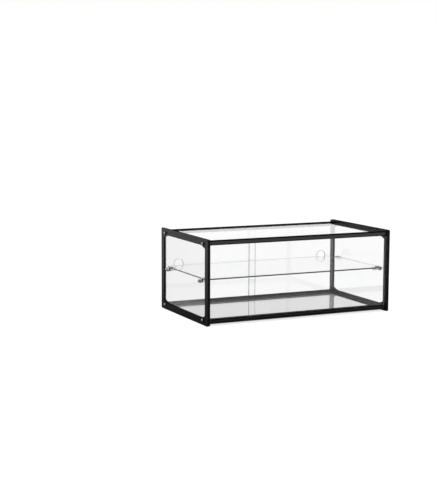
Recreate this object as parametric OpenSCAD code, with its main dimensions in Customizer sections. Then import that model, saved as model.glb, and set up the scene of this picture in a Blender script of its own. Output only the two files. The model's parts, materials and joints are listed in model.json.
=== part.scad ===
// Countertop display case: two end frames joined by four rails, clear panels on the front,
// top, base and ends, a clear shelf on four clips and two sliding doors at the rear.

/* [Overall size] */
// Width over the outer faces of the end frames
case_w = 730; // [640:1:800]
// Depth from the front edge to the rear edge of the end frames
case_d = 410; // [380:1:450]
// Height of the end frames
case_h = 300; // [280:1:340]

/* [End frames] */
// Thickness of the outer face plate
plate_t = 4.5; // [4:0.1:6]
// Thickness of the ring that clamps an end panel
clamp_t = 2; // [1.5:0.1:3]
// How far the rings behind the plate stand back from its outline
ring_inset = 1; // [0.5:0.1:4]
// Width of the plate's four members
member_w = 24; // [22:0.5:26]
// Outer corner radius of the plate
plate_corner_r = 6; // [5:0.5:12]
// Length of the corner gusset along the depth
gusset_d = 28; // [24:0.5:32]
// Height of the corner gusset
gusset_h = 10; // [8:0.5:12]

/* [Panels] */
// Thickness of the front, top, base and end panels
glass_t = 4; // [3:0.1:4.2]
// How far an end panel laps behind the plate
panel_lap = 6; // [5:0.1:6.5]
// Gap between an end panel's edge and the ring moulded round it
panel_gap = 0.3; // [0.2:0.05:0.6]
// Gap at each end of a panel that runs from frame to frame
panel_end_gap = 0.3; // [0.2:0.05:0.6]
// Gap between the top or base panel's front or rear edge and the bottom of its slit
slit_edge_gap = 1; // [0.5:0.1:1.5]

/* [Rails] */
// How far the rails stand back from the frames' front, rear and top edges
rail_inset = 8; // [7:0.1:9]
// Height of the bottom rails' lower faces above the counter
rail_lift = 7.5; // [7:0.1:9]
// Depth of the rail profile
rail_d = 36; // [35:0.5:40]
// Height of the rail profile
rail_h = 13; // [12.8:0.1:14]
// Radius of the rail's rounded nose
nose_r = 4; // [2:0.1:5]
// Radius of the rail's other outer edge
brow_r = 1; // [0.5:0.1:1.5]
// Distance of the glazing groove's centre from the rail's outer face
groove_pos = 6.3; // [6:0.1:6.8]
// Width of the glazing groove
groove_w = 6; // [5.6:0.1:6.2]
// Depth of the glazing groove
groove_depth = 7; // [6:0.1:7.5]
// Wall thickness of the glazing seal
seal_wall = 1; // [0.8:0.1:1.2]
// How far the glazing seal stands out of its groove
seal_lip = 0.8; // [0.5:0.1:1.5]
// Thickness of a rail between its outer horizontal face and the slit for the top or base panel
slit_cover = 1.8; // [1.5:0.1:2]
// Thickness of the wall between the slit and the rebate for a door track
slit_wall = 3; // [2:0.1:4]
// Gap above the top or base panel in its slit
slit_gap = 0.2; // [0.1:0.05:0.3]

/* [Frame screws] */
// Distance of a frame screw from the front or rear frame edge
screw_pos = 38; // [37.8:0.1:38.5]
// Distance of a locating peg from the front or rear frame edge
locator_pos = 23; // [21:0.1:24]
// Length of a locating peg inside its rail
peg_len = 8; // [5:0.5:12]
// Gap around a locating peg in its port
peg_gap = 0.1; // [0.05:0.05:0.2]
// Distance of a locating peg from the rail's outer horizontal face
peg_pos = 5; // [4:0.1:5.8]
// Distance of a frame screw from the rail's outer horizontal face
port_pos = 9.5; // [9.3:0.1:9.7]
// Diameter of a rail's ports for the screw and the peg
port_bore = 4.2; // [4.1:0.1:4.4]
// Diameter of the screw clearance hole in the end frame
screw_bore = 4.6; // [4.4:0.1:4.8]
// Diameter of the screw shank
screw_shank = 4; // [3.8:0.1:4]
// How far a screw reaches into the rail
screw_reach = 14; // [10:1:20]
// Diameter of the domed screw head
screw_head = 11; // [10:0.1:12]
// Height of the domed screw head
screw_head_h = 5; // [3.5:0.1:5.2]
// Diameter of the washer under the screw head
screw_washer_d = 14.5; // [13:0.1:16]
// Thickness of the washer under the screw head
screw_washer_t = 2; // [1.5:0.1:2.5]

/* [Sliding doors] */
// Thickness of a door
door_t = 4; // [3:0.1:4.2]
// How far the closed doors lap over each other
door_overlap = 31; // [15:1:40]
// Gap between a closed door and the end frame
door_end_gap = 1; // [0.5:0.1:2]
// Gap between a door's lower edge and its channel floor
door_lift_gap = 0.3; // [0.2:0.05:0.5]
// How far a door reaches up into the upper track
door_engage = 3.5; // [3:0.1:3.8]
// Diameter of the finger hole
finger_d = 36; // [30:0.5:42]
// Distance of the finger hole's centre from the door's outer edge
finger_pos = 53.5; // [40:0.5:70]
// Height of the finger hole's centre above the counter
finger_z = 163; // [130:1:180]

/* [Door tracks] */
// Distance from the rear frame edge to the middle between the two channels
channel_pos = 19; // [18.5:0.1:19.5]
// Width of each door channel
channel_w = 5.2; // [5:0.1:5.6]
// Thickness of the wall between the two channels
channel_wall = 3.9; // [3.5:0.1:4.2]
// Depth of a door track from the rear rail's outer face
track_d = 26; // [25.5:0.1:26.5]
// Depth of the rebate in a rear rail that a track is sunk into
track_rebate = 4; // [3.5:0.1:4.5]
// Height of the lower track
lower_track_h = 5.5; // [5.2:0.1:7]
// Height of the upper track
upper_track_h = 9.5; // [9.3:0.1:12]
// Thickness of the lower track's floor
lower_floor_t = 2; // [1.5:0.1:2.5]
// Thickness of the upper track's ceiling
upper_ceiling_t = 2; // [1.8:0.1:2.2]
// Gap between a track's tongue and the bottom of the groove
tongue_gap = 0.3; // [0.2:0.05:0.6]

/* [Shelf] */
// Thickness of the shelf
shelf_t = 5; // [4:0.1:6]
// Height of the shelf's upper face above the counter
shelf_z = 159.5; // [120:0.5:200]
// Distance of the shelf's front edge from the frame's front edge
shelf_front = 40; // [39:0.5:48]
// Distance of the shelf's rear edge from the frame's rear edge
shelf_rear = 33; // [27:0.5:40]
// Gap between a shelf end and the clip flange
shelf_end_gap = 1; // [0.5:0.1:2]
// Corner radius of the shelf
shelf_corner_r = 5; // [3:0.5:8]

/* [Shelf clips] */
// Distance of the front clips from the frame's front edge
clip_front = 60.5; // [55:0.5:70]
// Distance of the rear clips from the frame's rear edge
clip_rear = 62.5; // [50:0.5:70]
// Thickness of the clip flange
flange_t = 3; // [2.5:0.1:4]
// Width of the clip flange
flange_w = 16; // [14:0.5:18]
// Distance of the flange's lower edge below the jaw
flange_drop = 3.5; // [3:0.1:4]
// Corner radius of the clip flange
flange_corner_r = 3; // [2:0.1:4]
// Length of the lower jaw from the flange
jaw_len = 25; // [23.5:0.5:30]
// Length of the upper lip from the flange
lip_len = 10; // [8:0.5:14]
// Width of the jaw and the lip
jaw_w = 13; // [11:0.1:14]
// Thickness of the lower jaw
jaw_t = 4; // [3.5:0.1:5]
// Thickness of the upper lip
lip_t = 2.5; // [2:0.1:3.5]
// Gap between the upper lip and the shelf
lip_gap = 0.3; // [0.2:0.05:0.5]
// Thickness of the soft pad under the shelf
pad_t = 1; // [0.8:0.1:1.5]
// How far the pad stands back from the jaw's edges
pad_inset = 0.5; // [0.3:0.1:1]
// Diameter of the clip's threaded stud
stud_d = 5; // [4:0.1:5.5]
// Diameter of the stud hole in the end panel
stud_bore = 6; // [5.8:0.1:7]
// Diameter of the cap nut's collar
collar_d = 16; // [14.5:0.1:18]
// Height of the cap nut's collar
collar_h = 4; // [3:0.1:5]
// Radius of the collar's rounded rim
collar_rim_r = 1; // [0.5:0.1:1.2]
// Diameter of the cap nut's dome
dome_d = 12.5; // [11:0.1:13]
// Height of the cap nut with its dome
cap_h = 12; // [11.5:0.1:14]
// Depth of the threaded hole in the cap nut
cap_bore_depth = 8; // [6:0.1:8.5]
// Gap around the stud inside the cap nut and washer
stud_gap = 0.1; // [0.05:0.05:0.2]
// Diameter of the washer under the cap nut
washer_d = 14; // [12:0.1:14.4]
// Thickness of the washer
washer_t = 3; // [2:0.1:3.5]
// Distance of the first set screw from the flange
set_screw_first = 7; // [6:0.5:8]
// Distance between the two set screws
set_screw_pitch = 10.5; // [9:0.5:11]
// Diameter of the set screw shank
set_screw_d = 4; // [3:0.1:4]
// Diameter of the set screw hole
set_screw_bore = 4.2; // [4.1:0.1:4.5]
// Diameter of the set screw's head
set_screw_head = 7; // [6:0.1:8]
// Height of the set screw's head
set_screw_head_h = 3.2; // [2.5:0.1:4]

/* [Slots] */
// Width of a driver slot
slot_w = 1.2; // [0.8:0.1:1.4]
// Depth of a driver slot
slot_depth = 1.3; // [0.8:0.1:1.5]
// Length of a driver slot
slot_len = 5; // [4:0.1:6]

/* [Hidden] */
$fn = 96;
cut = 0.5;
clamp_in = plate_t + glass_t;
frame_t = clamp_in + clamp_t;
inner_x = case_w / 2 - frame_t;
panel_x = case_w / 2 - plate_t;
clip_x = panel_x - glass_t;
front_y = -case_d / 2;
rear_y = case_d / 2;
rail_top = case_h - rail_inset;
rail_len = 2 * inner_x;
slit_pos = track_d + slit_wall;
base_panel_z = rail_lift + slit_cover;
top_panel_z = rail_top - slit_cover - slit_gap - glass_t;
groove_y = rail_inset + groove_pos;
long_panel_w = 2 * (inner_x - panel_end_gap);
lower_rail_face = rail_lift + rail_h;
upper_rail_face = rail_top - rail_h;
lower_track_z = lower_rail_face - track_rebate;
upper_track_z = upper_rail_face + track_rebate;
tongue_h = groove_depth - track_rebate - tongue_gap;
channel_step = channel_wall + channel_w;
door_w = inner_x - door_end_gap + door_overlap / 2;
door_low = lower_track_z + lower_floor_t + door_lift_gap;
door_top = upper_track_z - upper_track_h + door_engage;
door_middle = inner_x - door_end_gap - door_w / 2;
track_y = rear_y - rail_inset - track_d;
channel_y = rear_y - channel_pos;
shelf_low = shelf_z - shelf_t;
jaw_top = shelf_low - pad_t;
jaw_low = jaw_top - jaw_t;
flange_low = jaw_low - flange_drop;
flange_h = shelf_z + lip_gap + lip_t - flange_low;
shelf_w = 2 * (clip_x - flange_t - shelf_end_gap);
clip_front_y = front_y + clip_front;
clip_rear_y = rear_y - clip_rear;
stud_z = jaw_top - jaw_t / 2;
stud_len = glass_t + washer_t + cap_bore_depth - stud_gap;

black_plastic = [0.06, 0.06, 0.06];
black_metal = [0.13, 0.13, 0.13];
clear = [0.8, 0.9, 0.9, 0.3];
nickel = [0.7, 0.7, 0.68];
black_rubber = [0.03, 0.03, 0.03];
steel = [0.75, 0.75, 0.75];

// Flat outlines

module rounded_outline(w, h, r) {
    square([w - 2 * r, h], center = true);
    square([w, h - 2 * r], center = true);
    for (sx = [-1, 1], sy = [-1, 1])
        translate([sx * (w / 2 - r), sy * (h / 2 - r)])
            circle(r);
}

// The gusset keeps the same angle while the outline grows outwards by the lap.
function gusset_scale(lap) =
    1 + lap * (1 / gusset_d + 1 / gusset_h - norm([1 / gusset_d, 1 / gusset_h]));

module opening_outline(lap) {
    half_d = case_d / 2 - member_w + lap;
    half_h = case_h / 2 - member_w + lap;
    cut_d = gusset_d * gusset_scale(lap);
    cut_h = gusset_h * gusset_scale(lap);
    polygon([[half_d - cut_d, half_h], [half_d, half_h - cut_h],
             [half_d, cut_h - half_h], [half_d - cut_d, -half_h],
             [cut_d - half_d, -half_h], [-half_d, cut_h - half_h],
             [-half_d, half_h - cut_h], [cut_d - half_d, half_h]]);
}

module ring_outline(lap) {
    difference() {
        rounded_outline(case_d - 2 * ring_inset, case_h - 2 * ring_inset,
                        plate_corner_r - ring_inset);
        opening_outline(lap);
    }
}

module rail_profile() {
    difference() {
        union() {
            translate([nose_r, 0])
                square([rail_d - nose_r, rail_h]);
            translate([0, brow_r])
                square([nose_r, rail_h - brow_r - nose_r]);
            translate([brow_r, 0])
                square([nose_r - brow_r, brow_r]);
            translate([brow_r, brow_r])
                circle(brow_r);
            translate([nose_r, rail_h - nose_r])
                circle(nose_r);
        }
        translate([groove_pos - groove_w / 2, rail_h - groove_depth])
            square([groove_w, groove_depth + cut]);
        translate([slit_pos, slit_cover])
            square([rail_d - slit_pos + cut, slit_gap + glass_t]);
        for (port = [[locator_pos, peg_pos], [screw_pos, port_pos]])
            translate([port[0] - rail_inset, port[1]])
                circle(d = port_bore);
    }
}

// A rear rail is cut back from its outer face to take a door track.
module rear_rail_profile() {
    difference() {
        rail_profile();
        translate([-cut, rail_h - track_rebate])
            square([track_d + cut, track_rebate + cut]);
    }
}

// Shared placing

// Turns a flat outline into a bar along the width: outline X to depth, outline Y to height.
module along_width(len) {
    rotate([90, 0, 90])
        linear_extrude(len, center = true)
            children();
}

// Stands a flat outline upright behind the left outer face, from one offset inwards.
module left_sheet(offset_in, thickness) {
    translate([-case_w / 2 + offset_in, 0, case_h / 2])
        rotate([90, 0, 90])
            linear_extrude(thickness)
                children();
}

// A pin along the width that runs from x inwards.
module pin_inwards(x, len, d) {
    translate([x, 0, 0])
        rotate([0, 90, 0])
            cylinder(len, d = d);
}

module each_corner(pos, rise) {
    for (y = [front_y + pos, rear_y - pos], z = [rail_lift + rise, rail_top - rise])
        translate([0, y, z])
            children();
}

module each_left_clip() {
    for (y = [clip_front_y, clip_rear_y])
        translate([0, y, 0])
            children();
}

module both_sides() {
    children();
    mirror([1, 0, 0])
        children();
}

module cross_slot() {
    for (turn = [0, 90])
        rotate([0, 0, turn])
            translate([0, 0, slot_depth / 2])
                cube([slot_len, slot_w, slot_depth], center = true);
}

// End frames, end panels and the rings that clamp them

module end_frame() {
    difference() {
        union() {
            left_sheet(0, plate_t)
                difference() {
                    rounded_outline(case_d, case_h, plate_corner_r);
                    opening_outline(0);
                }
            left_sheet(plate_t, glass_t)
                ring_outline(panel_lap);
            each_corner(locator_pos, peg_pos)
                pin_inwards(-panel_x, glass_t + clamp_t + peg_len, port_bore - 2 * peg_gap);
        }
        each_corner(screw_pos, port_pos)
            pin_inwards(-case_w / 2 - cut, clamp_in + 2 * cut, screw_bore);
    }
}

module clamp_ring() {
    difference() {
        left_sheet(clamp_in, clamp_t)
            ring_outline(0);
        each_corner(locator_pos, peg_pos)
            pin_inwards(-panel_x, glass_t + clamp_t + cut, port_bore);
        each_corner(screw_pos, port_pos)
            pin_inwards(-panel_x, glass_t + clamp_t + cut, screw_bore);
    }
}

module end_panel() {
    difference() {
        left_sheet(plate_t, glass_t)
            opening_outline(panel_lap - panel_gap);
        each_left_clip()
            translate([0, 0, stud_z])
                pin_inwards(-case_w / 2, frame_t, stud_bore);
    }
}

module left_end_frame() {
    color(black_plastic)
        end_frame();
}

module right_end_frame() {
    color(black_plastic)
        mirror([1, 0, 0])
            end_frame();
}

module left_end_panel() {
    color(clear)
        end_panel();
}

module right_end_panel() {
    color(clear)
        mirror([1, 0, 0])
            end_panel();
}

module left_clamp_ring() {
    color(black_plastic)
        clamp_ring();
}

module right_clamp_ring() {
    color(black_plastic)
        mirror([1, 0, 0])
            clamp_ring();
}

// Rails and glazing

module low_rail() {
    translate([0, front_y + rail_inset, rail_lift])
        along_width(rail_len)
            children();
}

module high_rail() {
    translate([0, front_y + rail_inset, rail_top])
        mirror([0, 0, 1])
            along_width(rail_len)
                children();
}

module front_top_rail() {
    color(black_metal)
        high_rail()
            rail_profile();
}

module front_bottom_rail() {
    color(black_metal)
        low_rail()
            rail_profile();
}

module rear_top_rail() {
    color(black_metal)
        mirror([0, 1, 0])
            high_rail()
                rear_rail_profile();
}

module rear_bottom_rail() {
    color(black_metal)
        mirror([0, 1, 0])
            low_rail()
                rear_rail_profile();
}

module seal_profile() {
    difference() {
        translate([-groove_w / 2, 0])
            square([groove_w, groove_depth + seal_lip]);
        translate([-glass_t / 2, seal_wall])
            square([glass_t, groove_depth + seal_lip]);
    }
}

module glazing_seal() {
    along_width(rail_len)
        seal_profile();
}

module lower_glazing_seal() {
    color(black_rubber)
        translate([0, front_y + groove_y, lower_rail_face - groove_depth])
            glazing_seal();
}

module upper_glazing_seal() {
    color(black_rubber)
        translate([0, front_y + groove_y, upper_rail_face + groove_depth])
            mirror([0, 0, 1])
                glazing_seal();
}

module front_panel() {
    low = lower_rail_face - groove_depth + seal_wall;
    high = upper_rail_face + groove_depth - seal_wall;
    color(clear)
        translate([-long_panel_w / 2, front_y + groove_y - glass_t / 2, low])
            cube([long_panel_w, glass_t, high - low]);
}

module flat_panel(low) {
    panel_d = case_d - 2 * (rail_inset + slit_pos + slit_edge_gap);
    translate([-long_panel_w / 2, -panel_d / 2, low])
        cube([long_panel_w, panel_d, glass_t]);
}

module top_panel() {
    color(clear)
        flat_panel(top_panel_z);
}

module base_panel() {
    color(clear)
        flat_panel(base_panel_z);
}

// Door tracks and doors

module track_profile(height, web) {
    difference() {
        union() {
            square([track_d, height]);
            translate([track_d - groove_pos - groove_w / 2, -tongue_h])
                square([groove_w, tongue_h + web]);
        }
        for (side = [-1, 1])
            translate([channel_y - track_y + side * channel_step / 2 - channel_w / 2, web])
                square([channel_w, height]);
    }
}

module lower_door_track() {
    color(black_plastic)
        translate([0, track_y, lower_track_z])
            along_width(rail_len)
                track_profile(lower_track_h, lower_floor_t);
}

module upper_door_track() {
    color(black_plastic)
        translate([0, track_y, upper_track_z])
            mirror([0, 0, 1])
                along_width(rail_len)
                    track_profile(upper_track_h, upper_ceiling_t);
}

module door(hole_side) {
    difference() {
        translate([-door_w / 2, -door_t / 2, door_low])
            cube([door_w, door_t, door_top - door_low]);
        translate([hole_side * (door_w / 2 - finger_pos), 0, finger_z])
            rotate([90, 0, 0])
                cylinder(door_t + 2 * cut, d = finger_d, center = true);
    }
}

module left_door() {
    color(clear)
        translate([-door_middle, channel_y + channel_step / 2, 0])
            door(-1);
}

module right_door() {
    color(clear)
        translate([door_middle, channel_y - channel_step / 2, 0])
            door(1);
}

// Shelf and clips

module shelf() {
    depth = case_d - shelf_front - shelf_rear;
    color(clear)
        translate([0, (shelf_front - shelf_rear) / 2, shelf_low])
            linear_extrude(shelf_t)
                rounded_outline(shelf_w, depth, shelf_corner_r);
}

module jaw_outline(len, inset) {
    half_w = jaw_w / 2 - inset;
    translate([0, -half_w])
        square([len - jaw_w / 2, 2 * half_w]);
    translate([len - jaw_w / 2, 0])
        circle(half_w);
}

module clip_body() {
    flange_in = -clip_x + flange_t;
    difference() {
        union() {
            translate([-clip_x, 0, flange_low + flange_h / 2])
                rotate([90, 0, 90])
                    linear_extrude(flange_t)
                        rounded_outline(flange_w, flange_h, flange_corner_r);
            translate([flange_in, 0, jaw_low])
                linear_extrude(jaw_t)
                    jaw_outline(jaw_len, 0);
            translate([flange_in, 0, shelf_z + lip_gap])
                linear_extrude(lip_t)
                    jaw_outline(lip_len, 0);
            translate([0, 0, stud_z])
                pin_inwards(-clip_x - stud_len, stud_len, stud_d);
        }
        for (i = [0, 1])
            translate([flange_in + set_screw_first + i * set_screw_pitch, 0, jaw_low - cut])
                cylinder(jaw_t + 2 * cut, d = set_screw_bore);
    }
}

module left_front_clip() {
    color(nickel)
        translate([0, clip_front_y, 0])
            clip_body();
}

module left_rear_clip() {
    color(nickel)
        translate([0, clip_rear_y, 0])
            clip_body();
}

module right_front_clip() {
    color(nickel)
        mirror([1, 0, 0])
            translate([0, clip_front_y, 0])
                clip_body();
}

module right_rear_clip() {
    color(nickel)
        mirror([1, 0, 0])
            translate([0, clip_rear_y, 0])
                clip_body();
}

module cap_nut() {
    difference() {
        rotate_extrude()
            difference() {
                union() {
                    square([collar_d / 2 - collar_rim_r, collar_h]);
                    square([collar_d / 2, collar_h - collar_rim_r]);
                    translate([collar_d / 2 - collar_rim_r, collar_h - collar_rim_r])
                        circle(collar_rim_r);
                    square([dome_d / 2, cap_h - dome_d / 2]);
                    translate([0, cap_h - dome_d / 2])
                        circle(d = dome_d);
                }
                translate([-dome_d, -cut])
                    square([dome_d, cap_h + 2 * cut]);
            }
        translate([0, 0, -cut])
            cylinder(cap_bore_depth + cut, d = stud_d + 2 * stud_gap);
    }
}

module clip_cap_nuts() {
    color(nickel)
        both_sides()
            each_left_clip()
                translate([-panel_x - washer_t, 0, stud_z])
                    rotate([0, -90, 0])
                        cap_nut();
}

module clip_washers() {
    color(black_rubber)
        both_sides()
            each_left_clip()
                translate([0, 0, stud_z])
                    difference() {
                        pin_inwards(-panel_x - washer_t, washer_t, washer_d);
                        pin_inwards(-panel_x - washer_t - cut, washer_t + 2 * cut,
                                    stud_d + 2 * stud_gap);
                    }
}

module set_screw() {
    cylinder(jaw_t, d = set_screw_d);
    difference() {
        translate([0, 0, -set_screw_head_h])
            cylinder(set_screw_head_h, d = set_screw_head);
        translate([0, 0, -set_screw_head_h])
            cross_slot();
    }
}

module clip_set_screws() {
    color(steel)
        both_sides()
            each_left_clip()
                for (i = [0, 1])
                    translate([-clip_x + flange_t + set_screw_first + i * set_screw_pitch,
                               0, jaw_low])
                        set_screw();
}

module clip_pads() {
    color(black_rubber)
        both_sides()
            each_left_clip()
                translate([-clip_x + flange_t + pad_inset, 0, jaw_top])
                    linear_extrude(pad_t)
                        jaw_outline(jaw_len - pad_inset, pad_inset);
}

// Fasteners

// The head is the part of a ball above its seat.
module dome_head() {
    ball_r = (pow(screw_head / 2, 2) + pow(screw_head_h, 2)) / (2 * screw_head_h);
    difference() {
        intersection() {
            translate([0, 0, screw_head_h - ball_r])
                sphere(ball_r);
            cylinder(screw_head_h + cut, r = ball_r + cut);
        }
        translate([0, 0, screw_head_h - slot_depth])
            cross_slot();
    }
}

module frame_screw() {
    rotate([0, -90, 0])
        dome_head();
    pin_inwards(0, screw_washer_t + frame_t + screw_reach, screw_shank);
}

module frame_screws() {
    color(steel)
        both_sides()
            each_corner(screw_pos, port_pos)
                translate([-case_w / 2 - screw_washer_t, 0, 0])
                    frame_screw();
}

module frame_washers() {
    color(black_rubber)
        both_sides()
            each_corner(screw_pos, port_pos)
                difference() {
                    pin_inwards(-case_w / 2 - screw_washer_t, screw_washer_t, screw_washer_d);
                    pin_inwards(-case_w / 2 - screw_washer_t - cut, screw_washer_t + 2 * cut,
                                screw_bore);
                }
}

left_end_frame();
right_end_frame();
left_end_panel();
right_end_panel();
left_clamp_ring();
right_clamp_ring();
front_top_rail();
front_bottom_rail();
rear_top_rail();
rear_bottom_rail();
upper_glazing_seal();
lower_glazing_seal();
front_panel();
top_panel();
base_panel();
upper_door_track();
lower_door_track();
left_door();
right_door();
shelf();
left_front_clip();
left_rear_clip();
right_front_clip();
right_rear_clip();
clip_cap_nuts();
clip_washers();
clip_set_screws();
clip_pads();
frame_screws();
frame_washers();
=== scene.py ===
import json
import math

import bmesh
import bpy
from mathutils import Matrix, Vector

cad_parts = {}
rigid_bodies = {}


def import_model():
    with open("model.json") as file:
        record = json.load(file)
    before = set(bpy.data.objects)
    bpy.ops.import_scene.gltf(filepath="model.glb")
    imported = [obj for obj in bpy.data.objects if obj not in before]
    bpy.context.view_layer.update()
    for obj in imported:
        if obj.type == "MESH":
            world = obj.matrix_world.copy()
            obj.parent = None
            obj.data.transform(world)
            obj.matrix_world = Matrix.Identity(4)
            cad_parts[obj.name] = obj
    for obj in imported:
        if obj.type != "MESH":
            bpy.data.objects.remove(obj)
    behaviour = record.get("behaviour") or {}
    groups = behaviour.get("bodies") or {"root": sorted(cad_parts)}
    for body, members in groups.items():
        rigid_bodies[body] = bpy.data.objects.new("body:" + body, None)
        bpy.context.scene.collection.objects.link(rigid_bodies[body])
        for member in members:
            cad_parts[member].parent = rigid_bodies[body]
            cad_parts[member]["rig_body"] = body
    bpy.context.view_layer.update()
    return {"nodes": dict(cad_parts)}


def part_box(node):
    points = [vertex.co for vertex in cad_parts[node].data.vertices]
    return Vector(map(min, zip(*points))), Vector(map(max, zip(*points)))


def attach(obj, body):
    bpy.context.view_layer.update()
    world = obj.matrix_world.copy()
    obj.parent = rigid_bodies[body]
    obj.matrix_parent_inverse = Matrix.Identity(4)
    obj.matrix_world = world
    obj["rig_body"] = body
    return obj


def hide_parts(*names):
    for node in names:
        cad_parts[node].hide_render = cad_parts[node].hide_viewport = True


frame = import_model()
scene = bpy.context.scene
scene.view_settings.view_transform = "Standard"
# one look through the case crosses up to six sheets
scene.cycles.transparent_max_bounces = 40
scene.cycles.max_bounces = 24
scene.cycles.transmission_bounces = 24
print("frame loaded:", len(frame["nodes"]), "nodes")


# node helpers shared by all finishes

def blankFinish(name):
    finish = bpy.data.materials.new(name)
    finish.use_nodes = True
    tree = finish.node_tree
    return finish, tree, tree.nodes["Principled BSDF"]


def noise(tree, size, stretch=(1, 1, 1), detail=3.0):
    coords = tree.nodes.new("ShaderNodeTexCoord")
    mapping = tree.nodes.new("ShaderNodeMapping")
    mapping.inputs["Scale"].default_value = stretch
    grain = tree.nodes.new("ShaderNodeTexNoise")
    grain.inputs["Scale"].default_value = 1 / size  # size in metres
    grain.inputs["Detail"].default_value = detail
    tree.links.new(coords.outputs["Object"], mapping.inputs["Vector"])
    tree.links.new(mapping.outputs["Vector"], grain.inputs["Vector"])
    return grain.outputs["Fac"]


def spread(tree, value, low, high, start=0.3, stop=0.7):
    node = tree.nodes.new("ShaderNodeMapRange")
    node.inputs["From Min"].default_value = start
    node.inputs["From Max"].default_value = stop
    node.inputs["To Min"].default_value = low
    node.inputs["To Max"].default_value = high
    tree.links.new(value, node.inputs["Value"])
    return node.outputs["Result"]


def calc(tree, operation, first, second):
    node = tree.nodes.new("ShaderNodeMath")
    node.operation = operation
    for socket, value in zip(node.inputs, (first, second)):
        if isinstance(value, (int, float)):
            socket.default_value = value
        else:
            tree.links.new(value, socket)
    return node.outputs["Value"]


def mixColour(tree, share, first, second):
    node = tree.nodes.new("ShaderNodeMix")
    node.data_type = "RGBA"
    tree.links.new(share, node.inputs[0])
    for socket, value in zip((node.inputs[6], node.inputs[7]), (first, second)):
        if isinstance(value, tuple):
            socket.default_value = (*value, 1)
        else:
            tree.links.new(value, socket)
    return node.outputs[2]


def bump(tree, shader, height, depth, strength=1.0):
    node = tree.nodes.new("ShaderNodeBump")
    node.inputs["Strength"].default_value = strength
    node.inputs["Distance"].default_value = depth
    tree.links.new(height, node.inputs["Height"])
    tree.links.new(node.outputs["Normal"], shader.inputs["Normal"])


wearPatches = dict(size=0.011, start=0.46, stop=0.64)


def wornEdges(tree, amount):
    # faces of the rounded edges carry edgeWear = 1
    mark = tree.nodes.new("ShaderNodeAttribute")
    mark.attribute_name = "edgeWear"
    cloud = noise(tree, wearPatches["size"], detail=6)
    patches = spread(tree, cloud, 0, amount, wearPatches["start"], wearPatches["stop"])
    return calc(tree, "MULTIPLY", mark.outputs["Fac"], patches)


# finishes, one function each

def blackSkin(name, look):
    # grain is stretched along the width on drawn profiles
    finish, tree, shader = blankFinish(name)
    shader.inputs["Specular IOR Level"].default_value = look["gloss"]
    cloud = noise(tree, look["cloud"], look["stretch"], detail=5)
    body = mixColour(tree, spread(tree, cloud, 0, 1), look["dark"], look["light"])
    colour = mixColour(tree, wornEdges(tree, look["wear"]), body, look["worn"])
    tree.links.new(colour, shader.inputs["Base Color"])
    grain = noise(tree, look["grain"], look["stretch"], detail=3)
    tree.links.new(spread(tree, grain, *look["rough"]), shader.inputs["Roughness"])
    bump(tree, shader, grain, look["depth"])
    return finish


def mouldedBlack():
    return blackSkin("mouldedBlack", dict(
        dark=(0.0036, 0.0036, 0.0037), light=(0.0070, 0.0070, 0.0072), worn=(0.022, 0.022, 0.023), wear=0.8,
        rough=(0.24, 0.36), gloss=0.15, cloud=0.05, grain=0.0007, stretch=(1, 1, 1), depth=0.00004))


def mouldedTopShaded():
    # painted shade: a darker, dull copy of the moulded black for the upper faces, which the light reaches
    # less
    return blackSkin("mouldedTopShaded", dict(
        dark=(0.0022, 0.0022, 0.0022), light=(0.0044, 0.0044, 0.0045), worn=(0.020, 0.020, 0.021), wear=0.6,
        rough=(0.84, 0.98), gloss=0.0, cloud=0.02, grain=0.0005, stretch=(1, 1, 1), depth=0.00004))


def anodisedBlack():
    return blackSkin("anodisedBlack", dict(
        dark=(0.0018, 0.0018, 0.0019), light=(0.0042, 0.0042, 0.0044), worn=(0.030, 0.030, 0.031), wear=0.5,
        rough=(0.22, 0.34), gloss=0.80, cloud=0.0012, grain=0.0006, stretch=(0.004, 1, 1), depth=0.000012))


# painted shade: a dull copy of the anodised black, without sheen, for the rails' upper faces
def anodisedTopShaded():
    return blackSkin("anodisedTopShaded", dict(
        dark=(0.0020, 0.0020, 0.0021), light=(0.0048, 0.0048, 0.0050), worn=(0.026, 0.026, 0.027), wear=0.5,
        rough=(0.80, 0.96), gloss=0.0, cloud=0.0012, grain=0.0006, stretch=(0.004, 1, 1), depth=0.000012))


def trackBlack():
    return blackSkin("trackBlack", dict(
        dark=(0.004, 0.004, 0.004), light=(0.009, 0.009, 0.009), worn=(0.030, 0.030, 0.030), wear=0.9,
        rough=(0.70, 0.90), gloss=0.06, cloud=0.0016, grain=0.0009, stretch=(0.01, 1, 1), depth=0.00002))


def sealRubber():
    look = dict(dark=(0.0015, 0.0015, 0.0015), light=(0.0045, 0.0045, 0.0045), rough=(0.78, 0.92),
                gloss=0.04, bloom=0.006, grain=0.0004, depth=0.00003)
    finish, tree, shader = blankFinish("sealRubber")
    shader.inputs["Specular IOR Level"].default_value = look["gloss"]
    bloom = noise(tree, look["bloom"], detail=5)
    colour = mixColour(tree, spread(tree, bloom, 0, 1), look["dark"], look["light"])
    tree.links.new(colour, shader.inputs["Base Color"])
    tree.links.new(spread(tree, bloom, *look["rough"]), shader.inputs["Roughness"])
    bump(tree, shader, noise(tree, look["grain"], detail=2), look["depth"])
    return finish


def throughTrick(tree, pane, pathOutput):
    # lamps and bounced light go straight through the sheet
    paths = tree.nodes.new("ShaderNodeLightPath")
    straight = tree.nodes.new("ShaderNodeBsdfTransparent")
    mix = tree.nodes.new("ShaderNodeMixShader")
    tree.links.new(paths.outputs[pathOutput], mix.inputs[0])
    tree.links.new(pane, mix.inputs[1])
    tree.links.new(straight.outputs[0], mix.inputs[2])
    return mix.outputs[0]


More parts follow.
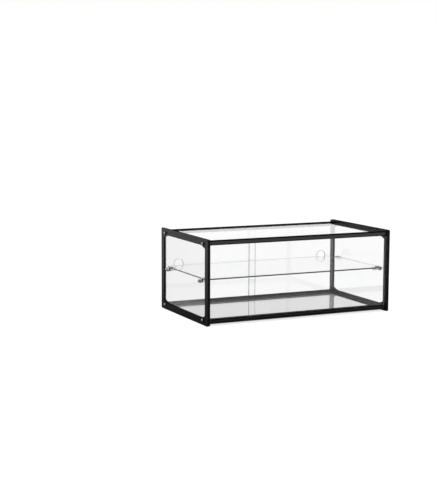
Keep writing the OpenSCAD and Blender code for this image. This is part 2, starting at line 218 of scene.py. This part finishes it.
def clearGlass():
    look = dict(clean=(0.989, 0.991, 0.990), hazy=(0.981, 0.984, 0.983), smear=0.09, stretch=(1, 1, 0.35),
                ior=1.5)
    finish, tree, shader = blankFinish("clearGlass")
    smear = noise(tree, look["smear"], look["stretch"], detail=6)
    colour = mixColour(tree, spread(tree, smear, 0, 1), look["clean"], look["hazy"])
    tree.links.new(colour, shader.inputs["Base Color"])
    shader.inputs["Roughness"].default_value = 0  # the floor tells sharp mirrors from satin by this
    shader.inputs["Transmission Weight"].default_value = 1
    shader.inputs["IOR"].default_value = look["ior"]
    pane = throughTrick(tree, shader.outputs[0], "Is Diffuse Ray")
    pane = throughTrick(tree, pane, "Is Shadow Ray")
    tree.links.new(pane, tree.nodes["Material Output"].inputs["Surface"])
    return finish


def cutEdge(name, look):
    # grinding lines run level along the edge
    level = (0.02, 0.02, 1)
    finish, tree, shader = blankFinish(name)
    shader.inputs["Specular IOR Level"].default_value = look["gloss"]
    lines = noise(tree, look["line"], level, detail=3)
    colour = mixColour(tree, spread(tree, lines, 0, 1), look["deep"], look["pale"])
    tree.links.new(colour, shader.inputs["Base Color"])
    tree.links.new(spread(tree, lines, *look["rough"]), shader.inputs["Roughness"])
    bump(tree, shader, lines, look["depth"])
    return finish


def groundEdge():
    # light is lost in the sheets' cut edges, so they read dark grey-green
    return cutEdge("groundEdge", dict(
        deep=(0.018, 0.021, 0.020), pale=(0.060, 0.068, 0.066), rough=(0.16, 0.34), gloss=0.22, line=0.0005,
        depth=0.00001))


def paleEdge():
    # the front sheet's cut edge is frosted and catches the light inside the sheet
    return cutEdge("paleEdge", dict(
        deep=(0.26, 0.27, 0.268), pale=(0.42, 0.43, 0.428), rough=(0.45, 0.65), gloss=0.22, line=0.0005,
        depth=0.00001))


def brightNickel():
    look = dict(base=(0.46, 0.455, 0.44), cloud=(0.72, 0.71, 0.695), worn=(0.16, 0.156, 0.148),
                rough=(0.05, 0.13), swirl=0.0035, wear=0.5, grain=0.0011, depth=0.00002)
    finish, tree, shader = blankFinish("brightNickel")
    cloud = noise(tree, look["swirl"], detail=6)
    body = mixColour(tree, spread(tree, cloud, 0, 1), look["base"], look["cloud"])
    colour = mixColour(tree, wornEdges(tree, look["wear"]), body, look["worn"])
    tree.links.new(colour, shader.inputs["Base Color"])
    shader.inputs["Metallic"].default_value = 1
    tree.links.new(spread(tree, cloud, *look["rough"]), shader.inputs["Roughness"])
    bump(tree, shader, noise(tree, look["grain"], detail=3), look["depth"])
    return finish


def zincSteel():
    look = dict(base=(0.36, 0.365, 0.37), cloud=(0.52, 0.525, 0.53), rough=(0.16, 0.30),
                spangle=0.0012, depth=0.00001)
    finish, tree, shader = blankFinish("zincSteel")
    spangle = noise(tree, look["spangle"], detail=4)
    colour = mixColour(tree, spread(tree, spangle, 0, 1), look["base"], look["cloud"])
    tree.links.new(colour, shader.inputs["Base Color"])
    shader.inputs["Metallic"].default_value = 1
    tree.links.new(spread(tree, spangle, *look["rough"]), shader.inputs["Roughness"])
    bump(tree, shader, spangle, look["depth"])
    return finish


finishes = {make.__name__: make() for make in (
    mouldedBlack, mouldedTopShaded, anodisedBlack, anodisedTopShaded, trackBlack, sealRubber, clearGlass, groundEdge,
    paleEdge, brightNickel, zincSteel)}
print("finishes made:", len(finishes))


# pieces that follow their solids, with rounded edges

weld = dict(solid=2e-6, spun=1e-6, rows=1e-5)  # metres
angles = dict(flat=0.6, corner=40, crease=42, turnedCrease=38, upward=50)  # degrees


def solidCopy(nodeName):
    mesh = bmesh.new()
    mesh.from_mesh(frame["nodes"][nodeName].data)
    bmesh.ops.remove_doubles(mesh, verts=mesh.verts, dist=weld["solid"])
    bmesh.ops.dissolve_limit(mesh, angle_limit=math.radians(angles["flat"]), verts=mesh.verts,
                             edges=mesh.edges)
    return mesh


def roundEdges(mesh, radius, steps):
    corner = math.radians(angles["corner"])
    sharp = [e for e in mesh.edges if e.is_manifold and e.calc_face_angle_signed() > corner]
    wear = mesh.faces.layers.float.new("edgeWear")
    made = bmesh.ops.bevel(mesh, geom=sharp, offset=radius, offset_type="OFFSET", segments=steps,
                           profile=0.5, affect="EDGES", clamp_overlap=True, loop_slide=True)
    for face in made["faces"]:
        face[wear] = 1


def placePiece(name, mesh, materials):
    data = bpy.data.meshes.new(name)
    mesh.to_mesh(data)
    mesh.free()
    data.shade_smooth()
    data.set_sharp_from_angle(angle=math.radians(angles["crease"]))
    for material in materials:
        data.materials.append(finishes[material])
    piece = bpy.data.objects.new(name, data)
    scene.collection.objects.link(piece)
    normals = piece.modifiers.new("evenShading", "WEIGHTED_NORMAL")
    normals.keep_sharp = True
    return bakeModifiers(piece)


def bakeModifiers(piece):
    graph = bpy.context.evaluated_depsgraph_get()
    data = bpy.data.meshes.new_from_object(piece.evaluated_get(graph), preserve_all_data_layers=True,
                                           depsgraph=graph)
    data.name = piece.name
    piece.modifiers.clear()
    piece.data = data
    return piece


def standFor(piece, body, nodeName):
    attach(piece, body)
    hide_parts(nodeName)


def bodyOf(nodeName):
    return frame["nodes"][nodeName]["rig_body"]


roundedPieces = dict(
    endFrames=dict(nodes=("left_end_frame", "right_end_frame"), radius=0.0009, steps=3,
                   finish="mouldedBlack", shadedTopFinish="mouldedTopShaded", slot="frame_black"),
    clampRings=dict(nodes=("left_clamp_ring", "right_clamp_ring"), radius=0.0004, steps=2,
                    finish="mouldedBlack", shadedTopFinish="mouldedTopShaded", slot="frame_black"),
    rails=dict(nodes=("front_top_rail", "front_bottom_rail", "rear_top_rail", "rear_bottom_rail"),
               radius=0.0004, steps=2, finish="anodisedBlack", shadedTopFinish="anodisedTopShaded", slot="rail_black"),
    tracks=dict(nodes=("upper_door_track", "lower_door_track"), radius=0.0003, steps=2,
                finish="trackBlack", slot="track_black"),
    clips=dict(nodes=("left_front_clip", "left_rear_clip", "right_front_clip", "right_rear_clip"),
               radius=0.0008, steps=3, finish="brightNickel", slot="clip_nickel"),
    pads=dict(nodes=("clip_pads",), radius=0.0002, steps=2, finish="sealRubber", slot="seal_black"),
    washers=dict(nodes=("clip_washers", "frame_washers"), radius=0.00015, steps=2, finish="sealRubber",
                 slot="seal_black"),
    seals=dict(nodes=("upper_glazing_seal", "lower_glazing_seal"), radius=0.0002, steps=2,
               finish="sealRubber", slot="seal_black"),
)


def pieceName(nodeName):
    first, *rest = nodeName.split("_")
    return first + "".join(word.capitalize() for word in rest)


upward = math.cos(math.radians(angles["upward"]))  # steeper faces keep the side finish


def makeRounded(kind):
    for nodeName in kind["nodes"]:
        mesh = solidCopy(nodeName)
        roundEdges(mesh, kind["radius"], kind["steps"])
        looks = (kind["finish"],)
        # upper faces take the painted-shade copy of the finish
        if "shadedTopFinish" in kind:
            looks += (kind["shadedTopFinish"],)
            mesh.normal_update()
            for face in mesh.faces:
                face.material_index = int(face.normal.z > upward)
        piece = placePiece(pieceName(nodeName), mesh, looks)
        standFor(piece, bodyOf(nodeName), nodeName)


for kind in roundedPieces.values():
    makeRounded(kind)
print("rounded pieces made:", sum(len(kind["nodes"]) for kind in roundedPieces.values()))


# clear sheets: arrised edges with a finish of their own, a hair clear of what holds them

sheets = dict(
    nodes=("front_panel", "top_panel", "base_panel", "left_end_panel", "right_end_panel", "left_door",
           "right_door", "shelf"),
    frosted="front_panel", clear=0.0001, arris=0.0006, steps=2, square=0.99)


def makeSheet(nodeName):
    low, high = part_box(nodeName)
    size = high - low
    thin = min(range(3), key=lambda axis: size[axis])
    middle = (low + high) / 2
    mesh = solidCopy(nodeName)
    for vert in mesh.verts:
        for axis in range(3):
            shrink = 1 - 2 * sheets["clear"] / size[axis]
            vert.co[axis] = middle[axis] + (vert.co[axis] - middle[axis]) * shrink
    roundEdges(mesh, sheets["arris"], sheets["steps"])
    mesh.normal_update()
    for face in mesh.faces:
        face.material_index = 0 if abs(face.normal[thin]) > sheets["square"] else 1
    edgeFinish = "paleEdge" if nodeName == sheets["frosted"] else "groundEdge"
    piece = placePiece(pieceName(nodeName), mesh, ("clearGlass", edgeFinish))
    standFor(piece, bodyOf(nodeName), nodeName)


for nodeName in sheets["nodes"]:
    makeSheet(nodeName)
print("clear sheets made:", len(sheets["nodes"]))


# turned fasteners: a profile is spun, cut or knurled, and set out in rows by one tree

def addNode(tree, kind, inputs=None, **settings):
    node = tree.nodes.new(kind)
    for key, value in settings.items():
        setattr(node, key, value)
    for key, value in (inputs or {}).items():
        if isinstance(value, bpy.types.NodeSocket):
            tree.links.new(value, node.inputs[key])
        else:
            node.inputs[key].default_value = value
    return node


def turnedTree(name, sizes, slotted, knurled, facing):
    tree = bpy.data.node_groups.new(name, "GeometryNodeTree")
    tree.interface.new_socket("Profile", in_out="INPUT", socket_type="NodeSocketGeometry")
    for label, value in sizes.items():
        kind = "NodeSocketInt" if isinstance(value, int) else "NodeSocketFloat"
        tree.interface.new_socket(label, in_out="INPUT", socket_type=kind)
    tree.interface.new_socket("Finish", in_out="INPUT", socket_type="NodeSocketMaterial")
    tree.interface.new_socket("Fasteners", in_out="OUTPUT", socket_type="NodeSocketGeometry")
    given = addNode(tree, "NodeGroupInput").outputs
    # spin the profile round a circle as wide as the head
    profile = addNode(tree, "GeometryNodeMeshToCurve", {"Mesh": given["Profile"]})
    circle = addNode(tree, "GeometryNodeCurvePrimitiveCircle",
                     {"Resolution": given["Facets"], "Radius": given["Head Radius"]})
    upright = addNode(tree, "GeometryNodeSetCurveNormal", {"Curve": circle.outputs["Curve"]}, mode="Z_UP")
    spun = addNode(tree, "GeometryNodeCurveToMesh", {"Curve": upright.outputs["Curve"],
                                                     "Profile Curve": profile.outputs["Curve"]})
    shape = addNode(tree, "GeometryNodeMergeByDistance", {"Geometry": spun.outputs["Mesh"],
                                                          "Distance": weld["spun"]}).outputs["Geometry"]
    if knurled:
        shape = knurlRim(tree, given, shape)
    if slotted:
        shape = cutCross(tree, given, shape)
    placed = setOut(tree, given, shape, facing)
    real = addNode(tree, "GeometryNodeRealizeInstances", {"Geometry": placed})
    painted = addNode(tree, "GeometryNodeSetMaterial", {"Geometry": real.outputs["Geometry"],
                                                        "Material": given["Finish"]})
    addNode(tree, "NodeGroupOutput", {"Fasteners": painted.outputs["Geometry"]})
    return tree


def knurlRim(tree, given, shape):
    place = addNode(tree, "GeometryNodeInputPosition").outputs["Position"]
    split = addNode(tree, "ShaderNodeSeparateXYZ", {"Vector": place})
    angle = addNode(tree, "ShaderNodeMath", {0: split.outputs["Y"], 1: split.outputs["X"]},
                    operation="ARCTAN2")
    wave = addNode(tree, "ShaderNodeMath", {0: angle.outputs[0], 1: given["Knurls"]}, operation="MULTIPLY")
    rise = addNode(tree, "ShaderNodeMath", {0: wave.outputs[0]}, operation="COSINE")
    flat = addNode(tree, "ShaderNodeCombineXYZ", {"X": split.outputs["X"], "Y": split.outputs["Y"]})
    reach = addNode(tree, "ShaderNodeVectorMath", {0: flat.outputs[0]}, operation="LENGTH")
    onRim = addNode(tree, "FunctionNodeCompare", {"A": reach.outputs["Value"], "B": given["Knurl From"]},
                    operation="GREATER_THAN")
    depth = addNode(tree, "ShaderNodeMath", {0: rise.outputs[0], 1: given["Knurl Depth"]},
                    operation="MULTIPLY")
    outward = addNode(tree, "ShaderNodeVectorMath", {0: flat.outputs[0]}, operation="NORMALIZE")
    push = addNode(tree, "ShaderNodeVectorMath", {0: outward.outputs[0], "Scale": depth.outputs[0]},
                   operation="SCALE")
    moved = addNode(tree, "GeometryNodeSetPosition", {"Geometry": shape, "Selection": onRim.outputs["Result"],
                                                      "Offset": push.outputs[0]})
    return moved.outputs["Geometry"]


def cutCross(tree, given, shape):
    bars = []
    for turn in (0, math.pi / 2):
        size = addNode(tree, "ShaderNodeCombineXYZ", {"X": given["Slot Length"], "Y": given["Slot Width"],
                                                      "Z": given["Slot Depth"]})
        bar = addNode(tree, "GeometryNodeMeshCube", {"Size": size.outputs[0]})
        top = addNode(tree, "ShaderNodeCombineXYZ", {"Z": given["Crown"]})
        bars.append(addNode(tree, "GeometryNodeTransform", {
            "Geometry": bar.outputs["Mesh"], "Translation": top.outputs[0], "Rotation": (0, 0, turn)}))
    for bar in bars:
        cut = addNode(tree, "GeometryNodeMeshBoolean", {"Mesh 1": shape, "Mesh 2": bar.outputs["Geometry"]},
                      operation="DIFFERENCE", solver="EXACT")
        shape = cut.outputs["Mesh"]
    return shape


def setOut(tree, given, shape, facing):
    # a box's corners and edge points are the rows; pairs split each of them along the width
    span = addNode(tree, "ShaderNodeCombineXYZ", {"X": given["Span Along"], "Y": given["Span Across"],
                                                  "Z": given["Span Up"]})
    box = addNode(tree, "GeometryNodeMeshCube", {"Size": span.outputs[0], "Vertices X": given["Count Along"]})
    halves = addNode(tree, "GeometryNodeJoinGeometry")
    for side in (-0.5, 0.5):
        step = addNode(tree, "ShaderNodeMath", {0: given["Pair Pitch"], 1: side}, operation="MULTIPLY")
        middle = addNode(tree, "ShaderNodeCombineXYZ", {"X": step.outputs[0], "Y": given["Middle Across"],
                                                        "Z": given["Middle Up"]})
        half = addNode(tree, "GeometryNodeTransform", {"Geometry": box.outputs["Mesh"],
                                                       "Translation": middle.outputs[0]})
        tree.links.new(half.outputs["Geometry"], halves.inputs["Geometry"])
    points = addNode(tree, "GeometryNodeMergeByDistance", {"Geometry": halves.outputs["Geometry"],
                                                           "Distance": weld["rows"]})
    turn = addNode(tree, "ShaderNodeCombineXYZ")
    if facing == "outward":
        place = addNode(tree, "GeometryNodeInputPosition")
        split = addNode(tree, "ShaderNodeSeparateXYZ", {"Vector": place.outputs["Position"]})
        side = addNode(tree, "ShaderNodeMath", {0: split.outputs["X"]}, operation="SIGN")
        quarter = addNode(tree, "ShaderNodeMath", {0: side.outputs[0], 1: math.pi / 2}, operation="MULTIPLY")
        tree.links.new(quarter.outputs[0], turn.inputs["Y"])
    else:
        turn.inputs["X"].default_value = math.pi
    rotation = addNode(tree, "FunctionNodeEulerToRotation", {"Euler": turn.outputs[0]})
    placed = addNode(tree, "GeometryNodeInstanceOnPoints", {
        "Points": points.outputs["Geometry"], "Instance": shape, "Rotation": rotation.outputs["Rotation"]})
    return placed.outputs["Instances"]


def profileMesh(name, points, headRadius):
    # points are (radius, height) from the axis at the crown to the axis at the tip
    data = bpy.data.meshes.new(name)
    verts = [(radius - headRadius, -height, 0) for radius, height in points]
    data.from_pydata(verts, [(i, i + 1) for i in range(len(verts) - 1)], [])
    return data


def domePoints(radius, low, high, steps):
    turns = [math.pi / 2 * i / steps for i in range(steps + 1)]
    return [(radius * math.sin(t), low + (high - low) * math.cos(t)) for t in turns]


def threadPoints(radius, depth, pitch, start, stop, tip=0.4):
    # the flat at the tip is a share of the radius
    count = int((start - stop) / pitch)
    points = []
    for i in range(count):
        points += [(radius - depth, start - pitch * i), (radius, start - pitch * (i + 0.5))]
    return points + [(radius - depth, start - pitch * count), (radius * tip, stop), (0, stop)]


def makeFasteners(name, nodeName, points, sizes, finish, slotted=False, knurled=False,
                  facing="outward"):
    tree = turnedTree(name + "Tree", sizes, slotted, knurled, facing)
    piece = bpy.data.objects.new(name, profileMesh(name, points, sizes["Head Radius"]))
    scene.collection.objects.link(piece)
    modifier = piece.modifiers.new("turned", "NODES")
    modifier.node_group = tree
    for item in tree.interface.items_tree:
        if item.in_out == "INPUT" and item.name in sizes:
            modifier[item.identifier] = sizes[item.name]
        elif item.name == "Finish":
            modifier[item.identifier] = finishes[finish]
    bakeModifiers(piece)
    piece.data.shade_smooth()
    piece.data.set_sharp_from_angle(angle=math.radians(angles["turnedCrease"]))
    standFor(piece, bodyOf(nodeName), nodeName)


def rows(nodeName, headRadius, **more):
    # the rows' spans and middles come from the fasteners' own box
    low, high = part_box(nodeName)
    return {"Span Across": high.y - low.y - 2 * headRadius, "Middle Across": (low.y + high.y) / 2,
            "Count Along": 2, "Pair Pitch": 0.0, "Head Radius": headRadius, **more}


frameScrew = dict(headRadius=0.0055, headHigh=0.005, rim=0.0004, domeSteps=10, shank=0.002, thread=0.0003,
                  threadFrom=0.001, pitch=0.0014, length=0.0265, slotLong=0.0050, slotWide=0.0012,
                  slotDeep=0.0013, facets=48)


def makeFrameScrews(part):
    low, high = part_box("frame_screws")
    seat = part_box("frame_washers")[1].x
    points = domePoints(part["headRadius"], part["rim"], part["headHigh"], part["domeSteps"])
    points += [(part["headRadius"], 0), (part["shank"], 0)]
    points += threadPoints(part["shank"], part["thread"], part["pitch"], -part["threadFrom"],
                           -part["length"])
    sizes = rows("frame_screws", part["headRadius"], **{
        "Facets": part["facets"], "Span Along": 2 * seat, "Crown": part["headHigh"],
        "Span Up": high.z - low.z - 2 * part["headRadius"], "Middle Up": (low.z + high.z) / 2,
        "Slot Length": part["slotLong"], "Slot Width": part["slotWide"],
        "Slot Depth": 2 * part["slotDeep"]})
    makeFasteners("frameScrews", "frame_screws", points, sizes, "zincSteel", slotted=True)


capNut = dict(headRadius=0.008, high=0.012, collar=0.004, rim=0.0009, rimSteps=3, dome=0.00625, domeSteps=12,
              fillet=0.0005, hollow=0.3, bore=0.0026, boreDeep=0.008, facets=48)


def makeCapNuts(part):
    low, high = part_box("clip_cap_nuts")
    dome, collar, rim, fillet = part["dome"], part["collar"], part["rim"], part["fillet"]
    hollow = part["hollow"] * fillet
    points = domePoints(dome, part["high"] - dome, part["high"], part["domeSteps"])
    points += [(dome, collar + fillet), (dome + hollow, collar + hollow), (dome + fillet, collar)]
    points += [(part["headRadius"] - rim + out, up)
               for out, up in domePoints(rim, collar - rim, collar, part["rimSteps"])]
    points += [(part["headRadius"], 0), (part["bore"], 0), (part["bore"], part["boreDeep"]),
               (0, part["boreDeep"])]
    sizes = rows("clip_cap_nuts", part["headRadius"], **{
        "Facets": part["facets"], "Span Along": 2 * (high.x - part["high"]), "Span Up": 0.0,
        "Middle Up": (low.z + high.z) / 2})
    makeFasteners("clipCapNuts", "clip_cap_nuts", points, sizes, "brightNickel")


setScrew = dict(headRadius=0.0035, headHigh=0.0032, edge=0.0004, dishFloor=0.0016, dishRim=0.0019,
                dishDeep=0.0005, shank=0.002, thread=0.0002, threadFrom=0.0003, pitch=0.0008, length=0.0039,
                knurls=14, knurlDeep=0.00022, pitchAlong=0.0105, facets=84)


def makeSetScrews(part):
    low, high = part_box("clip_set_screws")
    radius = part["headRadius"] - part["knurlDeep"]
    top, edge = part["headHigh"], part["edge"]
    dish = top - part["dishDeep"]
    points = [(0, dish), (part["dishFloor"], dish), (part["dishRim"], top), (radius - edge, top),
              (radius, top - edge), (radius, edge), (radius - edge, 0), (part["shank"], 0)]
    points += threadPoints(part["shank"], part["thread"], part["pitch"], -part["threadFrom"],
                           -part["length"])
    sizes = rows("clip_set_screws", part["headRadius"], **{
        "Facets": part["facets"], "Span Along": high.x - low.x - 2 * part["headRadius"] - part["pitchAlong"],
        "Span Up": 0.0, "Middle Up": low.z + top, "Pair Pitch": part["pitchAlong"],
        "Knurls": float(part["knurls"]), "Knurl Depth": part["knurlDeep"], "Knurl From": radius - edge / 2})
    makeFasteners("clipSetScrews", "clip_set_screws", points, sizes, "zincSteel",
                  knurled=True, facing="down")


makeFrameScrews(frameScrew)
makeCapNuts(capNut)
makeSetScrews(setScrew)
print("fasteners made")


# floor, room and lamps

room = dict(shown=1.0, bounced=0.72, nearSide=0.15, dimFrom=-0.7, dimTo=0.2, floorHalf=14.0,
            floorLevel=-0.0002, floorColour=(0.34, 0.34, 0.34), floorLift=0.80, throughLift=1.0,
            mirrorNear=0.25, mirrorFar=1.5, mirrorColour=(0.03, 0.03, 0.03), mirrorLift=0.75, sheetLift=0.14,
            shade=0.48, railShade=0.06, shadeEdge=0.012)


def satinRay(tree):
    # gloss from satin and metal, not the sharp mirror image in a sheet
    paths = tree.nodes.new("ShaderNodeLightPath")
    soft = calc(tree, "SUBTRACT", 1, paths.outputs["Is Singular Ray"])
    return calc(tree, "MULTIPLY", paths.outputs["Is Glossy Ray"], soft)


def seenBy(tree, *rays):
    paths = tree.nodes.new("ShaderNodeLightPath")
    share = paths.outputs[rays[0]]
    for ray in rays[1:]:
        share = calc(tree, "MAXIMUM", share, paths.outputs[ray])
    return share


def makeRoom():
    world = bpy.data.worlds.new("paleRoom")
    world.use_nodes = True
    scene.world = world
    tree = world.node_tree
    light = tree.nodes["Background"]
    light.inputs["Color"].default_value = (1, 1, 1, 1)
    direct = seenBy(tree, "Is Camera Ray", "Is Glossy Ray", "Is Transmission Ray")
    level = spread(tree, direct, room["bounced"], room["shown"], 0, 1)
    # satin gloss finds the room darker on the viewer's side
    ways = tree.nodes.new("ShaderNodeTexCoord")
    split = tree.nodes.new("ShaderNodeSeparateXYZ")
    tree.links.new(ways.outputs["Generated"], split.inputs["Vector"])
    dim = spread(tree, split.outputs["Y"], 1 - room["nearSide"], 0, room["dimFrom"], room["dimTo"])
    dim = calc(tree, "MULTIPLY", dim, satinRay(tree))
    tree.links.new(calc(tree, "SUBTRACT", level, dim), light.inputs["Strength"])


def underCase(tree, place):
    # painted shadow: the floor's lift is cut between the frames, where the clear sheets keep some light off,
    # and cut most under the rear rail, which keeps off most
    low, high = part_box("rear_bottom_rail")
    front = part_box("base_panel")[0].y
    edge = room["shadeEdge"]
    split = tree.nodes.new("ShaderNodeSeparateXYZ")
    tree.links.new(place, split.inputs["Vector"])
    aside = calc(tree, "ABSOLUTE", split.outputs["X"], 0)
    inside = spread(tree, aside, 1, 0, high.x - edge, high.x + edge)
    ahead = spread(tree, split.outputs["Y"], 0, 1, front - edge, front + edge)
    behind = spread(tree, split.outputs["Y"], 1, 0, high.y - edge, high.y + edge)
    inside = calc(tree, "MULTIPLY", inside, calc(tree, "MULTIPLY", ahead, behind))
    deep = spread(tree, split.outputs["Y"], room["shade"], room["railShade"], low.y - edge, low.y + edge)
    kept = calc(tree, "SUBTRACT", 1, deep)
    return calc(tree, "SUBTRACT", 1, calc(tree, "MULTIPLY", kept, inside))


def floorFinish():
    finish, tree, shader = blankFinish("paleFloor")
    tree.nodes.remove(shader)
    place = tree.nodes.new("ShaderNodeTexCoord").outputs["Object"]
    glossy = seenBy(tree, "Is Glossy Ray")
    satin = satinRay(tree)
    matt = tree.nodes.new("ShaderNodeBsdfDiffuse")
    colour = mixColour(tree, glossy, room["floorColour"], room["mirrorColour"])
    tree.links.new(colour, matt.inputs["Color"])
    shown = calc(tree, "MULTIPLY", seenBy(tree, "Is Camera Ray"), room["floorLift"])
    through = calc(tree, "MULTIPLY", seenBy(tree, "Is Transmission Ray"), room["throughLift"])
    shown = calc(tree, "MAXIMUM", shown, through)
    shown = calc(tree, "MULTIPLY", shown, underCase(tree, place))
    # painted shade: satin gloss shows the floor darker close to the case, and a sheet's mirror image shows it
    # dark all over
    away = tree.nodes.new("ShaderNodeVectorMath")
    away.operation = "LENGTH"
    tree.links.new(place, away.inputs[0])
    far = spread(tree, away.outputs["Value"], 0, room["mirrorLift"], room["mirrorNear"], room["mirrorFar"])
    inSatin = calc(tree, "MULTIPLY", far, satin)
    inSheet = calc(tree, "MULTIPLY", calc(tree, "SUBTRACT", glossy, satin), room["sheetLift"])
    mirrored = calc(tree, "MAXIMUM", inSatin, inSheet)
    lift = tree.nodes.new("ShaderNodeEmission")
    tree.links.new(calc(tree, "MAXIMUM", shown, mirrored), lift.inputs["Strength"])
    both = tree.nodes.new("ShaderNodeAddShader")
    tree.links.new(matt.outputs[0], both.inputs[0])
    tree.links.new(lift.outputs[0], both.inputs[1])
    tree.links.new(both.outputs[0], tree.nodes["Material Output"].inputs["Surface"])
    return finish


def makeFloor():
    half, level = room["floorHalf"], room["floorLevel"]
    corners = [(-half, -half, level), (half, -half, level), (half, half, level), (-half, half, level)]
    mesh = bpy.data.meshes.new("floor")
    mesh.from_pydata(corners, [], [(0, 1, 2, 3)])
    mesh.materials.append(floorFinish())
    floor = bpy.data.objects.new("floor", mesh)
    scene.collection.objects.link(floor)


lamps = dict(
    key=dict(place=(-1.9, -0.7, 1.9), size=(1.6, 1.2), watts=16),
    fill=dict(place=(1.4, -2.0, 1.7), size=(1.4, 1.4), watts=9),
)
lampAim = (0, 0, 0.15)


def makeLamps():
    aim = Vector(lampAim)
    for name, lamp in lamps.items():
        light = bpy.data.lights.new(name, "AREA")
        light.shape = "RECTANGLE"
        light.size, light.size_y = lamp["size"]
        light.energy = lamp["watts"]
        holder = bpy.data.objects.new(name, light)
        holder.location = lamp["place"]
        holder.rotation_euler = (aim - holder.location).to_track_quat("-Z", "Y").to_euler()
        # a lamp would show as a hard-edged patch in the sheets
        holder.visible_glossy = False
        holder.visible_transmission = False
        scene.collection.objects.link(holder)


makeRoom()
makeFloor()
makeLamps()
print("room and lamps set")


# camera, from the photo's own lines

view = dict(place=(-2.02174, -3.81259, 0.79548), yaw=25.192, pitch=7.481, roll=-0.224, lens=86.095,
            sensor=36, reach=50)


def aimCamera():
    yaw, pitch, roll = (math.radians(view[turn]) for turn in ("yaw", "pitch", "roll"))
    ahead = Vector((math.sin(yaw) * math.cos(pitch), math.cos(yaw) * math.cos(pitch), -math.sin(pitch)))
    right = Vector((math.cos(yaw), -math.sin(yaw), 0))
    down = ahead.cross(right)
    level = right * math.cos(roll) + down * math.sin(roll)
    plumb = down * math.cos(roll) - right * math.sin(roll)
    lens = bpy.data.cameras.new("camera")
    lens.lens = view["lens"]
    lens.sensor_width = view["sensor"]
    lens.clip_end = view["reach"]
    camera = bpy.data.objects.new("camera", lens)
    turned = Matrix((level, -plumb, -ahead)).transposed().to_4x4()
    camera.matrix_world = Matrix.Translation(view["place"]) @ turned
    scene.collection.objects.link(camera)
    scene.camera = camera


aimCamera()
print("camera set")
